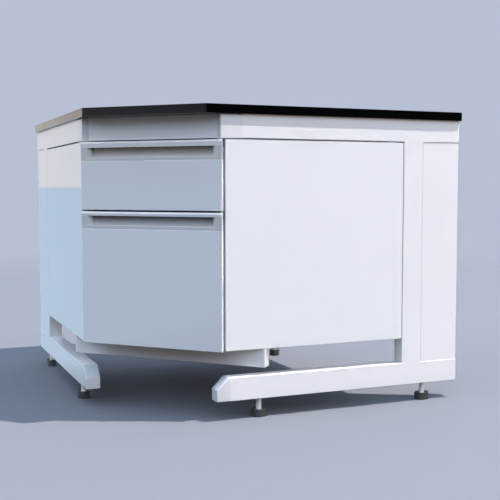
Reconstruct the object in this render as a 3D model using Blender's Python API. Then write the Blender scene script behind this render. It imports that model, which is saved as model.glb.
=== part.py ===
"""Corner laboratory bench with a suspended two-drawer cabinet.

A five-sided worktop stands on two C-shaped side frames and one rear leg. A six-sided cabinet hangs
between the frames, and its two drawers run straight out to the front on telescopic runners.

Metres, +Z up, the front looks along -Y. The origin lies on the floor, under the middle of the
worktop's bounding box. The right-hand half is modelled, and the left-hand half is its mirror image.
"""
import math

import bmesh
import bpy
from mathutils import Matrix, Vector

# Worktop, seen in plan: a front edge that cuts the corner, two side edges and two wall edges
WORKTOP_HEIGHT = 0.800
WORKTOP_THICK = 0.023
WORKTOP_CHAMFER = 0.0015
FRONT_EDGE = 0.358
SIDE_EDGE = 0.753

# Clearance between pieces that are bolted, plugged or laid together
FIT = 0.0003

# Rectangular steel tube of the side frames
TUBE_HEIGHT = 0.060
TUBE_WIDTH = 0.040
TUBE_WALL = 0.002
TUBE_RADIUS = 0.003
CORNER_STEPS = 3

# Side frame, measured along the worktop's side edge from its front corner, and inward from it
SIDE_OVERHANG = 0.007
REAR_END = 0.7485
FOOT_CLEARANCE = 0.050
FOOT_NOSE = 0.0285
NOSE_LENGTH = 0.035
NOSE_CHAMFER = 0.030
SPIGOT = 0.028
POST_FRONT = 0.571
TOP_NOSE = 0.039
TOP_CORNER_LENGTH = 0.057

# Folded sheet panel that closes the service space behind each post
SERVICE_RECESS = 0.0025
SERVICE_DEPTH = 0.015
SERVICE_SHEET = 0.0015
SERVICE_FOLD_RADIUS = 0.001

# Front apron, a channel under the worktop's front edge
APRON_SETBACK = 0.0445
APRON_DEPTH = 0.035
APRON_SHEET = 0.002
APRON_END_GAP = 0.0008

# Rear rails and the leg that they meet on the middle line
REAR_RAIL_AT = 0.538
LEG_WIDTH = 0.040

# Cabinet body
BOARD = 0.018
BOARD_EDGE = 0.0008
CABINET_LIFT = 0.069
CABINET_GAP = 0.0031
PANEL_INSET = 0.002
PANEL_FRONT_GAP = 0.0011
PANEL_GAP = 0.0035
CARCASS_DEPTH = 0.800
PARTITION = 0.016
CLEAR_WIDTH = 0.358

# Angle that hangs the cabinet from a top beam
ANGLE_START = 0.110
ANGLE_REAR_GAP = 0.010
ANGLE_LEG = 0.036
ANGLE_THICK = 0.003

# Rail under the cabinet, with a plug in each end
RAIL_SETBACK = 0.118
RAIL_HALF_LENGTH = 0.288
RAIL_HEIGHT = 0.050
RAIL_DEPTH = 0.030
PLUG_HEAD = 0.006
PLUG_CHAMFER = 0.002

# Drawer fronts with a grip profile along the top
DRAWER_SETBACK = 0.0315
DRAWER_WIDTH = 0.4085
FRONT_THICK = 0.016
FRONT_EDGE_RADIUS = 0.0015
FRONT_STEPS = 2
FRONTS_RISE = 0.0008
FRONTS_LAP = 0.002
UPPER_FRONT_HEIGHT = 0.1804
FRONTS_GAP = 0.0042
CLOSED_GAP = 0.0012
UPPER_LIP_HEIGHT = 0.0169
LOWER_LIP_HEIGHT = 0.0110
LIP_RADIUS = 0.005
LIP_BEVEL = 0.0045
LIP_THICK = 0.005
GRIP_STEP = 0.001
GRIP_FLANGE = 0.0085
RECESS_HEIGHT = 0.0255
RECESS_DEPTH = 0.0145
RECESS_POCKET = 0.006
RECESS_HALF_LENGTH = 0.187

# Drawer boxes
BOX_WALL = 0.012
BOX_LENGTH = 0.478
BOX_BOTTOM_THICK = 0.008
BOX_BOTTOM_LIFT = 0.010
GROOVE_DEPTH = 0.005
BOX_TOP_DROP = 0.0560
UPPER_BOX_LIFT = 0.0135
LOWER_BOX_CLEARANCE = 0.0085

# Telescopic runners: three rolled channels, one inside the other
RUNNER_PACK = 0.0123
RUNNER_SHEET = 0.0014
RUNNER_HEIGHT = 0.045
RUNNER_FIXED_FLANGE = 0.0100
RUNNER_MIDDLE_FLANGE = 0.0085
RUNNER_DRAWER_FLANGE = 0.0080
RUNNER_LENGTH = 0.470
RUNNER_GAP = 0.0045
RUNNER_LIFT = 0.042

# Levelling feet
FOOT_FRONT_AT = 0.151
FOOT_REAR_AT = 0.649
PAD_RADIUS = 0.0208
PAD_HEIGHT = 0.020
PAD_ROUND = 0.0012
CUP_RIM = 0.0035
CUP_DEPTH = 0.002
FLARE_RADIUS = 0.0085
FLARE_HEIGHT = 0.006
SLEEVE_RADIUS = 0.007
SCREW_RADIUS = 0.005
SCREW_LENGTH = 0.045
SCREW_CLEARANCE = 0.0004
ROUND_SIDES = 24

# Values that follow from the driving dimensions
C45 = math.sqrt(0.5)
WALL_EDGE = SIDE_EDGE + FRONT_EDGE * C45
FRONT_Y = -(SIDE_EDGE + WALL_EDGE) * C45 / 2
TUBE_CENTRE = SIDE_OVERHANG + TUBE_WIDTH / 2
TUBE_INNER_FACE = SIDE_OVERHANG + TUBE_WIDTH
TOP_FRAME_TOP = WORKTOP_HEIGHT - WORKTOP_THICK - FIT
TOP_FRAME_BOTTOM = TOP_FRAME_TOP - TUBE_HEIGHT
FOOT_BEAM_TOP = FOOT_CLEARANCE + TUBE_HEIGHT
POST_REAR = POST_FRONT + TUBE_HEIGHT
CABINET_REAR = POST_FRONT - PANEL_GAP
CABINET_BOTTOM = FOOT_BEAM_TOP + CABINET_LIFT
CABINET_TOP = TOP_FRAME_BOTTOM - CABINET_GAP
FRONTS_BOTTOM = CABINET_BOTTOM - FRONTS_LAP
FRONTS_TOP = CABINET_TOP + FRONTS_RISE
UPPER_FRONT_LOW = FRONTS_TOP - UPPER_FRONT_HEIGHT
LOWER_FRONT_TOP = UPPER_FRONT_LOW - FRONTS_GAP
DRAWER_BACK_CORNER = (DRAWER_WIDTH - FRONT_EDGE) / 2 + DRAWER_SETBACK + FRONT_THICK
PANEL_FRONT = DRAWER_BACK_CORNER * C45 + PANEL_FRONT_GAP
PANEL_INNER_FACE = SIDE_OVERHANG + PANEL_INSET + BOARD
CARCASS_FRONT_Y = FRONT_Y + DRAWER_SETBACK + FRONT_THICK + CLOSED_GAP
CARCASS_BACK_Y = CARCASS_FRONT_Y + CARCASS_DEPTH
BOX_HALF_WIDTH = CLEAR_WIDTH / 2 - RUNNER_PACK - 2 * FIT


def plan(along, inward):
    """A plan point by its distance along the right side edge and its distance inward from that edge."""
    x = FRONT_EDGE / 2 + (along - inward) * C45
    y = FRONT_Y + (along + inward) * C45
    return x, y


def painted(name, colour, roughness, metallic=0.0):
    """A Principled material of one colour."""
    material = bpy.data.materials.new(name)
    material.use_nodes = True
    shader = material.node_tree.nodes["Principled BSDF"]
    shader.inputs["Base Color"].default_value = (*colour, 1.0)
    shader.inputs["Roughness"].default_value = roughness
    shader.inputs["Metallic"].default_value = metallic
    return material


def group(name, location, turn=0.0):
    """An empty that carries the pieces of one assembly."""
    empty = bpy.data.objects.new(name, None)
    empty.location = location
    empty.rotation_euler = (0.0, 0.0, turn)
    bpy.context.scene.collection.objects.link(empty)
    return empty


def piece(name, shape, material, parent, location=(0.0, 0.0, 0.0), rotation=(0.0, 0.0, 0.0)):
    """A named object made from a finished bmesh."""
    mesh = bpy.data.meshes.new(name)
    bmesh.ops.recalc_face_normals(shape, faces=shape.faces)
    shape.to_mesh(mesh)
    shape.free()
    mesh.materials.append(material)
    made = bpy.data.objects.new(name, mesh)
    made.parent = parent
    made.location = location
    made.rotation_euler = rotation
    bpy.context.scene.collection.objects.link(made)
    return made


def mirrored(made, name, parent):
    """The left-hand twin of a right-hand piece."""
    mesh = made.data.copy()
    mesh.name = name
    mesh.transform(Matrix.Scale(-1.0, 4, (1.0, 0.0, 0.0)))
    mesh.flip_normals()
    twin = bpy.data.objects.new(name, mesh)
    twin.parent = parent
    twin.location = (-made.location.x, made.location.y, made.location.z)
    turn = made.rotation_euler
    twin.rotation_euler = (turn.x, -turn.y, -turn.z)
    bpy.context.scene.collection.objects.link(twin)
    return twin


def cut_away(made, cutter):
    """Subtract a cutter from a piece for good, and remove the cutter."""
    cut = made.modifiers.new("cut", "BOOLEAN")
    cut.operation = "DIFFERENCE"
    cut.object = cutter
    bpy.context.view_layer.update()
    depsgraph = bpy.context.evaluated_depsgraph_get()
    result = bpy.data.meshes.new_from_object(made.evaluated_get(depsgraph))
    made.modifiers.clear()
    made.data = result
    bpy.data.objects.remove(cutter)


def extruded(outline, step):
    """A closed prism: a flat outline of 3-D points, pushed along a vector."""
    shape = bmesh.new()
    face = shape.faces.new([shape.verts.new(point) for point in outline])
    grown = bmesh.ops.extrude_face_region(shape, geom=[face])
    moved = [item for item in grown["geom"] if isinstance(item, bmesh.types.BMVert)]
    bmesh.ops.translate(shape, vec=Vector(step), verts=moved)
    return shape


def board(low, high, edge=BOARD_EDGE, steps=1):
    """A rectangular board between two corners with eased edges."""
    outline = [(low[0], low[1], low[2]), (high[0], low[1], low[2]),
               (high[0], high[1], low[2]), (low[0], high[1], low[2])]
    shape = extruded(outline, (0.0, 0.0, high[2] - low[2]))
    bmesh.ops.bevel(shape, geom=shape.edges[:], offset=edge, segments=steps, profile=0.5, affect="EDGES")
    return shape


def slab(outline, low, high, edge):
    """A horizontal board of any plan outline with eased edges."""
    shape = extruded([(x, y, low) for x, y in outline], (0.0, 0.0, high - low))
    bmesh.ops.bevel(shape, geom=shape.edges[:], offset=edge, segments=1, profile=0.5, affect="EDGES")
    return shape


def both_sides(half_outline):
    """A symmetric plan outline from its right-hand points, listed from front to back."""
    return half_outline + [(-x, y) for x, y in reversed(half_outline) if abs(x) > FIT]


def rounded_rectangle(width, height, radius):
    """Points of a rectangle with round corners, centred on zero."""
    points = []
    for corner, (u, v) in enumerate(((1, 1), (-1, 1), (-1, -1), (1, -1))):
        centre = (u * (width / 2 - radius), v * (height / 2 - radius))
        for step in range(CORNER_STEPS + 1):
            angle = (corner + step / CORNER_STEPS) * math.pi / 2
            points.append((centre[0] + radius * math.cos(angle), centre[1] + radius * math.sin(angle)))
    return points


def skin(shape, first, second):
    """A band of faces between two rings of points."""
    count = len(first)
    for index in range(count):
        after = (index + 1) % count
        shape.faces.new((first[index], first[after], second[after], second[index]))


def tube(length, width, height, closed_end=False):
    """A rectangular tube along +X from zero, with its far end open or closed by a welded plate."""
    outer = rounded_rectangle(width, height, TUBE_RADIUS)
    inner = rounded_rectangle(width - 2 * TUBE_WALL, height - 2 * TUBE_WALL, TUBE_RADIUS - TUBE_WALL)
    hollow = length - TUBE_WALL if closed_end else length
    shape = bmesh.new()
    rings = []
    for section, x in ((outer, 0.0), (outer, length), (inner, hollow), (inner, 0.0)):
        rings.append([shape.verts.new((x, u, v)) for u, v in section])
    near, far, hollow_far, hollow_near = rings
    skin(shape, near, far)
    skin(shape, hollow_far, hollow_near)
    skin(shape, hollow_near, near)
    if closed_end:
        shape.faces.new(far)
        shape.faces.new(hollow_far)
    else:
        skin(shape, far, hollow_far)
    return shape


def add_spigot(shape, at, inset, length):
    """Grow a plug from the flat face that looks along +X at the given place."""
    shape.normal_update()
    face = max((f for f in shape.faces if f.normal.x > 0.9 and abs(f.calc_center_median().x - at) < FIT),
               key=lambda f: f.calc_area())
    bmesh.ops.inset_region(shape, faces=[face], thickness=inset, use_even_offset=True)
    grown = bmesh.ops.extrude_discrete_faces(shape, faces=[face])
    bmesh.ops.translate(shape, vec=(length, 0.0, 0.0), verts=grown["faces"][0].verts)


def tube_end(profile, length, width):
    """A block as wide as a tube, with the given side profile, round long edges and a spigot behind it."""
    shape = extruded([(x, -width / 2, z) for x, z in profile], (0.0, width, 0.0))
    long_edges = []
    for edge in shape.edges:
        first, second = edge.verts
        on_one_side = abs(first.co.y - second.co.y) < FIT
        at_back = min(first.co.x, second.co.x) > length - FIT
        if on_one_side and not at_back:
            long_edges.append(edge)
    bmesh.ops.bevel(shape, geom=long_edges, offset=TUBE_RADIUS, segments=CORNER_STEPS, profile=0.5,
                    affect="EDGES")
    bmesh.ops.recalc_face_normals(shape, faces=shape.faces)
    add_spigot(shape, length, TUBE_WALL + FIT, SPIGOT)
    return shape


def turned(profile, sides):
    """A solid of revolution about Z from (radius, height) points, listed upwards."""
    shape = bmesh.new()
    rings = []
    for radius, height in profile:
        ring = []
        for step in range(sides):
            angle = 2 * math.pi * step / sides
            ring.append(shape.verts.new((radius * math.cos(angle), radius * math.sin(angle), height)))
        rings.append(ring)
    for lower, upper in zip(rings, rings[1:]):
        skin(shape, lower, upper)
    shape.faces.new(rings[0])
    shape.faces.new(rings[-1])
    return shape


def across(section, half_length):
    """A bar across the object from a (y, z) section; half_length gives its reach at a depth y."""
    shape = extruded([(-1.0, y, z) for y, z in section], (2.0, 0.0, 0.0))
    for vert in shape.verts:
        vert.co.x = math.copysign(half_length(vert.co.y), vert.co.x)
    return shape


def arc(centre, radius, start, end, steps):
    """Points of a circular arc, with angles in degrees."""
    points = []
    for step in range(steps + 1):
        angle = math.radians(start + (end - start) * step / steps)
        points.append((centre[0] + radius * math.cos(angle), centre[1] + radius * math.sin(angle)))
    return points


for old in list(bpy.data.objects):
    bpy.data.objects.remove(old)

# Finishes
BLACK_TOP = painted("black_worktop", (0.030, 0.032, 0.036), 0.35)
WHITE_PAINT = painted("white_paint", (0.86, 0.87, 0.89), 0.32)
WHITE_LACQUER = painted("white_lacquer", (0.84, 0.86, 0.89), 0.18)
WHITE_PLASTIC = painted("white_plastic", (0.78, 0.79, 0.82), 0.45)
BOARD_WHITE = painted("board_white", (0.82, 0.83, 0.84), 0.40)
ZINC = painted("zinc_steel", (0.62, 0.63, 0.65), 0.35, 1.0)
BLACK_PLASTIC = painted("black_plastic", (0.045, 0.045, 0.050), 0.55)

# Assemblies: side frames turned by 45 degrees, with local X along the side edge
EIGHTH_TURN = math.radians(45)
corner_x, corner_y = plan(0.0, 0.0)
bench = group("bench", (0.0, 0.0, 0.0))
right_frame = group("right_frame", (corner_x, corner_y, 0.0), EIGHTH_TURN)
left_frame = group("left_frame", (-corner_x, corner_y, 0.0), -EIGHTH_TURN)
right_frame.parent = bench
left_frame.parent = bench


def frame_pair(name, shape, material, location=(0.0, 0.0, 0.0), rotation=(0.0, 0.0, 0.0), holes=()):
    """One piece of the right side frame and its twin on the left."""
    made = piece("right_" + name, shape, material, right_frame, location, rotation)
    for hole in holes:
        cut_away(made, hole)
    mirrored(made, "left_" + name, left_frame)


def bench_pair(name, shape, material):
    """A piece in the object's own axes and its mirror image."""
    made = piece("right_" + name, shape, material, bench)
    mirrored(made, "left_" + name, bench)


def screw_hole(parent, location):
    """A cutter for the hole that a levelling screw passes through."""
    reach = TUBE_WALL * 2
    profile = [(SCREW_RADIUS + SCREW_CLEARANCE, -reach), (SCREW_RADIUS + SCREW_CLEARANCE, reach)]
    cutter = piece("screw_hole", turned(profile, ROUND_SIDES), ZINC, parent, location)
    cutter.hide_render = True
    cutter.display_type = "WIRE"
    return cutter


# Worktop: one slab with chamfered edges
top_outline = both_sides([plan(0.0, 0.0), plan(SIDE_EDGE, 0.0), (0.0, -FRONT_Y)])
piece("worktop", slab(top_outline, WORKTOP_HEIGHT - WORKTOP_THICK, WORKTOP_HEIGHT, WORKTOP_CHAMFER),
      BLACK_TOP, bench)

# Foot beams, closed at the rear, with a hole in the underside for each levelling screw
beam_start = FOOT_NOSE + NOSE_LENGTH + FIT
beam_z = FOOT_CLEARANCE + TUBE_HEIGHT / 2
foot_places = {"front": FOOT_FRONT_AT, "rear": FOOT_REAR_AT}
holes = [screw_hole(right_frame, (at, TUBE_CENTRE, FOOT_CLEARANCE)) for at in foot_places.values()]
frame_pair("foot_beam", tube(REAR_END - beam_start, TUBE_WIDTH, TUBE_HEIGHT, closed_end=True), WHITE_PAINT,
           (beam_start, TUBE_CENTRE, beam_z), holes=holes)

# Nose caps: plugs with a sloping front
nose_profile = [(0.0, -TUBE_HEIGHT / 2), (NOSE_LENGTH, -TUBE_HEIGHT / 2), (NOSE_LENGTH, TUBE_HEIGHT / 2),
                (NOSE_CHAMFER, TUBE_HEIGHT / 2), (0.0, TUBE_HEIGHT / 2 - NOSE_CHAMFER)]
frame_pair("nose_cap", tube_end(nose_profile, NOSE_LENGTH, TUBE_WIDTH), WHITE_PLASTIC,
           (FOOT_NOSE, TUBE_CENTRE, beam_z))

# Posts stand on the foot beams and carry the top beams
post_length = TOP_FRAME_BOTTOM - FOOT_BEAM_TOP - 2 * FIT
frame_pair("post", tube(post_length, TUBE_WIDTH, TUBE_HEIGHT), WHITE_PAINT,
           (POST_FRONT + TUBE_HEIGHT / 2, TUBE_CENTRE, FOOT_BEAM_TOP + FIT), (0.0, -math.pi / 2, 0.0))

# Top beams and the corner blocks plugged into their front ends
top_z = TOP_FRAME_TOP - TUBE_HEIGHT / 2
top_start = TOP_NOSE + TOP_CORNER_LENGTH + FIT
frame_pair("top_beam", tube(REAR_END - top_start, TUBE_WIDTH, TUBE_HEIGHT, closed_end=True), WHITE_PAINT,
           (top_start, TUBE_CENTRE, top_z))
block_profile = [(0.0, -TUBE_HEIGHT / 2), (TOP_CORNER_LENGTH, -TUBE_HEIGHT / 2),
                 (TOP_CORNER_LENGTH, TUBE_HEIGHT / 2), (0.0, TUBE_HEIGHT / 2)]
frame_pair("top_corner", tube_end(block_profile, TOP_CORNER_LENGTH, TUBE_WIDTH), WHITE_PLASTIC,
           (TOP_NOSE, TUBE_CENTRE, top_z))

# Front apron: a channel, open to the back, whose ends are cut to lie along the corner blocks
apron_reach = FRONT_EDGE / 2 + (TOP_NOSE - APRON_END_GAP) / C45
apron_front = FRONT_Y + APRON_SETBACK
apron_back = apron_front + APRON_DEPTH
channel = [(apron_front, TOP_FRAME_BOTTOM), (apron_back, TOP_FRAME_BOTTOM),
           (apron_back, TOP_FRAME_BOTTOM + APRON_SHEET),
           (apron_front + APRON_SHEET, TOP_FRAME_BOTTOM + APRON_SHEET),
           (apron_front + APRON_SHEET, TOP_FRAME_TOP - APRON_SHEET),
           (apron_back, TOP_FRAME_TOP - APRON_SHEET),
           (apron_back, TOP_FRAME_TOP), (apron_front, TOP_FRAME_TOP)]
piece("front_apron", across(channel, lambda y: apron_reach - (y - FRONT_Y)), WHITE_PAINT, bench)

# Service panels: shallow trays of folded sheet between post, beams and wall
tray_size = (REAR_END - POST_REAR - FIT, SERVICE_DEPTH, post_length)
tray = board((0.0, 0.0, 0.0), tray_size, SERVICE_FOLD_RADIUS)
tray.normal_update()
tray_back = max((f for f in tray.faces if f.normal.y > 0.9), key=lambda f: f.calc_area())
bmesh.ops.inset_region(tray, faces=[tray_back], thickness=SERVICE_SHEET - SERVICE_FOLD_RADIUS,
                       use_even_offset=True)
pocket = bmesh.ops.extrude_discrete_faces(tray, faces=[tray_back])
bmesh.ops.translate(tray, vec=(0.0, SERVICE_SHEET - SERVICE_DEPTH, 0.0), verts=pocket["faces"][0].verts)
frame_pair("service_panel", tray, WHITE_PAINT,
           (POST_REAR + FIT, SIDE_OVERHANG + SERVICE_RECESS, FOOT_BEAM_TOP + FIT))

# Rear rails run parallel to the walls, from each top beam to the leg on the middle line
leg_inward = REAR_RAIL_AT + FRONT_EDGE * C45
rail_start = TUBE_INNER_FACE + FIT
frame_pair("rear_rail", tube(leg_inward - LEG_WIDTH / 2 - FIT - rail_start, TUBE_WIDTH, TUBE_HEIGHT),
           WHITE_PAINT, (REAR_RAIL_AT, rail_start, top_z), (0.0, 0.0, math.pi / 2))

# Rear leg: a square tube with a bottom plate for its levelling screw
leg_x, leg_y = plan(REAR_RAIL_AT, leg_inward)
leg_length = TOP_FRAME_TOP - FOOT_CLEARANCE
leg = piece("rear_leg", tube(leg_length, LEG_WIDTH, LEG_WIDTH, closed_end=True), WHITE_PAINT, bench,
            (leg_x, leg_y, TOP_FRAME_TOP), (0.0, math.pi / 2, EIGHTH_TURN))
cut_away(leg, screw_hole(bench, (leg_x, leg_y, FOOT_CLEARANCE)))

# Cabinet sides, flush with the side frames, and the slanting panels behind them
frame_pair("carcass_side", board((PANEL_FRONT, PANEL_INNER_FACE - BOARD, CABINET_BOTTOM),
                                 (CABINET_REAR, PANEL_INNER_FACE, CABINET_TOP)), WHITE_LACQUER)
mitre = (CARCASS_BACK_Y - FIT - FRONT_Y) / C45
slant_start = PANEL_INNER_FACE + FIT
slant_inner = CABINET_REAR - BOARD
slant_outline = [(slant_inner, slant_start), (CABINET_REAR, slant_start),
                 (CABINET_REAR, mitre - CABINET_REAR), (slant_inner, mitre - slant_inner)]
frame_pair("carcass_rear", slab(slant_outline, CABINET_BOTTOM, CABINET_TOP, BOARD_EDGE), BOARD_WHITE)

# Cabinet back, with ends that follow the slanting panels
back_reach = FRONT_EDGE / 2 + CABINET_REAR / C45 + FRONT_Y
back_far_y = CARCASS_BACK_Y + BOARD
back_outline = both_sides([(back_reach - CARCASS_BACK_Y, CARCASS_BACK_Y),
                           (back_reach - back_far_y, back_far_y)])
piece("carcass_back", slab(back_outline, CABINET_BOTTOM, CABINET_TOP, BOARD_EDGE), BOARD_WHITE, bench)

# Cabinet bottom and top: six-sided boards inside the upright panels
inner_side = PANEL_INNER_FACE + FIT
inner_slant = slant_inner - FIT
floor_half = [plan((CARCASS_FRONT_Y - FRONT_Y) / C45 - inner_side, inner_side),
              plan(inner_slant, inner_side), plan(inner_slant, mitre - inner_slant)]
for name, low in (("carcass_bottom", CABINET_BOTTOM), ("carcass_top", CABINET_TOP - BOARD)):
    piece(name, slab(both_sides(floor_half), low, low + BOARD, BOARD_EDGE), BOARD_WHITE, bench)

# Partitions carry the runners; each one reaches from the inner face of a side panel, or from the
# cabinet's front where that lies further back, to the slanting panel or the back behind it
partition_outer = CLEAR_WIDTH / 2 + PARTITION
partition_meets_side = FRONT_Y + partition_outer - FRONT_EDGE / 2 + inner_side / C45
partition_front = max(CARCASS_FRONT_Y, partition_meets_side)
partition_meets_slant = FRONT_Y - partition_outer + FRONT_EDGE / 2 + inner_slant / C45
partition_back = min(CARCASS_BACK_Y - FIT, partition_meets_slant)
partition_low = (CLEAR_WIDTH / 2, partition_front, CABINET_BOTTOM + BOARD + FIT)
partition_high = (partition_outer, partition_back, CABINET_TOP - BOARD - FIT)
bench_pair("partition", board(partition_low, partition_high), BOARD_WHITE)

# Hanger angles: bolted to the inner face of each top beam, with a leg lying on the cabinet; each one
# stops short of the rear rail
angle_y = TUBE_INNER_FACE + FIT
angle_z = CABINET_TOP + FIT
angle_section = [(angle_y, angle_z), (angle_y + ANGLE_LEG, angle_z),
                 (angle_y + ANGLE_LEG, angle_z + ANGLE_THICK),
                 (angle_y + ANGLE_THICK, angle_z + ANGLE_THICK),
                 (angle_y + ANGLE_THICK, angle_z + ANGLE_LEG), (angle_y, angle_z + ANGLE_LEG)]
angle_outline = [(ANGLE_START, y, z) for y, z in angle_section]
angle_length = REAR_RAIL_AT - TUBE_WIDTH / 2 - ANGLE_REAR_GAP - ANGLE_START
frame_pair("hanger_angle", extruded(angle_outline, (angle_length, 0.0, 0.0)), ZINC)

# Rail under the cabinet and its end plugs
rail_y = FRONT_Y + RAIL_SETBACK + RAIL_DEPTH / 2
rail_z = CABINET_BOTTOM - FIT - RAIL_HEIGHT / 2
rail_half = RAIL_HALF_LENGTH - PLUG_HEAD - FIT
piece("base_rail", tube(2 * rail_half, RAIL_DEPTH, RAIL_HEIGHT), WHITE_PAINT, bench,
      (-rail_half, rail_y, rail_z))
plug_profile = [(0.0, PLUG_CHAMFER - RAIL_HEIGHT / 2), (PLUG_CHAMFER, -RAIL_HEIGHT / 2),
                (PLUG_HEAD, -RAIL_HEIGHT / 2), (PLUG_HEAD, RAIL_HEIGHT / 2),
                (PLUG_CHAMFER, RAIL_HEIGHT / 2), (0.0, RAIL_HEIGHT / 2 - PLUG_CHAMFER)]
right_plug = piece("right_rail_plug", tube_end(plug_profile, PLUG_HEAD, RAIL_DEPTH), WHITE_PLASTIC, bench,
                   (RAIL_HALF_LENGTH, rail_y, rail_z), (0.0, 0.0, math.pi))
mirrored(right_plug, "left_rail_plug", bench)


def grip_profile(parent, lip_height):
    """The grip along the top of a drawer front: round lip, finger recess with sloping ends, flange."""
    recess_low = -lip_height - RECESS_HEIGHT
    grip_low = recess_low - GRIP_FLANGE
    section = arc((LIP_RADIUS, -LIP_RADIUS), LIP_RADIUS, 180, 90, CORNER_STEPS + 1)
    section += [(FRONT_THICK, 0.0), (FRONT_THICK, grip_low), (GRIP_STEP, grip_low),
                (GRIP_STEP, -lip_height), (0.0, LIP_BEVEL - lip_height)]
    recess = [(-LIP_THICK, -lip_height), (LIP_THICK, -lip_height), (LIP_THICK, RECESS_POCKET - lip_height),
              (RECESS_DEPTH, RECESS_POCKET - lip_height), (RECESS_DEPTH, recess_low),
              (-LIP_THICK, recess_low)]
    cutter = piece("recess", across(recess, lambda y: RECESS_HALF_LENGTH - y), ZINC, parent)
    cutter.hide_render = True
    cutter.display_type = "WIRE"
    return across(section, lambda y: DRAWER_WIDTH / 2), cutter, grip_low


def runner_channel(back, tip, height):
    """A rolled runner channel along +Y: its web lies at x = back, and its flanges reach to x = tip."""
    half = height / 2
    web = back + math.copysign(RUNNER_SHEET, tip - back)
    lip = half - RUNNER_SHEET
    section = [(back, -half), (tip, -half), (tip, -lip), (web, -lip),
               (web, lip), (tip, lip), (tip, half), (back, half)]
    return extruded([(x, 0.0, z) for x, z in section], (0.0, RUNNER_LENGTH, 0.0))


def drawer(name, front_low, front_high, lip_height, box_low):
    """One drawer: front, grip and box, and the runner pair that carries it."""
    front_y = FRONT_Y + DRAWER_SETBACK
    body = group(name + "_drawer", (0.0, front_y, front_high))
    body.parent = bench
    half_width = DRAWER_WIDTH / 2
    title = name + "_drawer_"

    grip_shape, recess, grip_low = grip_profile(body, lip_height)
    grip = piece(title + "grip", grip_shape, WHITE_LACQUER, body)
    cut_away(grip, recess)
    panel_low = (-half_width, GRIP_STEP / 2, front_low - front_high)
    panel_high = (half_width, FRONT_THICK, grip_low - FIT)
    piece(title + "front", board(panel_low, panel_high, FRONT_EDGE_RADIUS, FRONT_STEPS), WHITE_LACQUER, body)

    low = box_low - front_high
    high = -BOX_TOP_DROP
    box_front = FRONT_THICK + FIT
    box_back = box_front + BOX_LENGTH
    inside = BOX_HALF_WIDTH - BOX_WALL
    groove_low = low + BOX_BOTTOM_LIFT - FIT
    groove_high = groove_low + BOX_BOTTOM_THICK + 2 * FIT
    side_section = [(inside, low), (BOX_HALF_WIDTH, low), (BOX_HALF_WIDTH, high), (inside, high),
                    (inside, groove_high), (inside + GROOVE_DEPTH, groove_high),
                    (inside + GROOVE_DEPTH, groove_low), (inside, groove_low)]
    side = extruded([(x, box_front, z) for x, z in side_section], (0.0, BOX_LENGTH, 0.0))
    right_side = piece(title + "right_side", side, BOARD_WHITE, body)
    mirrored(right_side, title + "left_side", body)
    piece(title + "back", board((FIT - inside, box_back - BOX_WALL, groove_high),
                                (inside - FIT, box_back, high)), BOARD_WHITE, body)
    tongue = inside + GROOVE_DEPTH - FIT
    piece(title + "bottom", board((-tongue, box_front, groove_low + FIT),
                                  (tongue, box_back, groove_high - FIT)), BOARD_WHITE, body)

    nest = RUNNER_SHEET + FIT
    fixed_back = CLEAR_WIDTH / 2 - FIT
    middle_back = fixed_back - nest
    drawer_back = fixed_back - RUNNER_PACK
    members = (("fixed", fixed_back, fixed_back - RUNNER_FIXED_FLANGE),
               ("middle", middle_back, middle_back - RUNNER_MIDDLE_FLANGE),
               ("drawer", drawer_back, drawer_back + RUNNER_DRAWER_FLANGE))
    place = (0.0, FRONT_THICK + RUNNER_GAP, low + RUNNER_LIFT)
    for order, (member, back, tip) in enumerate(members):
        shape = runner_channel(back, tip, RUNNER_HEIGHT - 2 * order * nest)
        made = piece(name + "_right_runner_" + member, shape, ZINC, body, place)
        mirrored(made, name + "_left_runner_" + member, body)


drawer("upper", UPPER_FRONT_LOW, FRONTS_TOP, UPPER_LIP_HEIGHT, UPPER_FRONT_LOW + UPPER_BOX_LIFT)
drawer("lower", FRONTS_BOTTOM, LOWER_FRONT_TOP, LOWER_LIP_HEIGHT,
       CABINET_BOTTOM + BOARD + LOWER_BOX_CLEARANCE)

# Levelling feet: a cup with a raised rim, a stem that flares into it and seats under the frame, and
# the screw that goes into the frame
sleeve_top = FOOT_CLEARANCE - FIT
cup_floor = PAD_HEIGHT - CUP_DEPTH
foot_profile = arc((PAD_RADIUS - PAD_ROUND, PAD_ROUND), PAD_ROUND, -90, 0, CORNER_STEPS)
foot_profile += arc((PAD_RADIUS - PAD_ROUND, PAD_HEIGHT - PAD_ROUND), PAD_ROUND, 0, 90, CORNER_STEPS)
foot_profile += [(PAD_RADIUS - CUP_RIM, PAD_HEIGHT), (PAD_RADIUS - CUP_RIM, cup_floor),
                 (FLARE_RADIUS, cup_floor), (SLEEVE_RADIUS, cup_floor + FLARE_HEIGHT),
                 (SLEEVE_RADIUS, sleeve_top), (SCREW_RADIUS, sleeve_top),
                 (SCREW_RADIUS, sleeve_top + SCREW_LENGTH)]
for place, at in foot_places.items():
    foot = piece("right_" + place + "_foot", turned(foot_profile, ROUND_SIDES), BLACK_PLASTIC, right_frame,
                 (at, TUBE_CENTRE, 0.0))
    mirrored(foot, "left_" + place + "_foot", left_frame)
piece("back_foot", turned(foot_profile, ROUND_SIDES), BLACK_PLASTIC, bench, (leg_x, leg_y, 0.0))
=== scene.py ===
"""Looks of a corner laboratory bench: black worktop, white frames and a hanging cabinet with two drawers."""
import math

import bmesh
import bpy
from mathutils import Matrix, Vector


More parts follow.
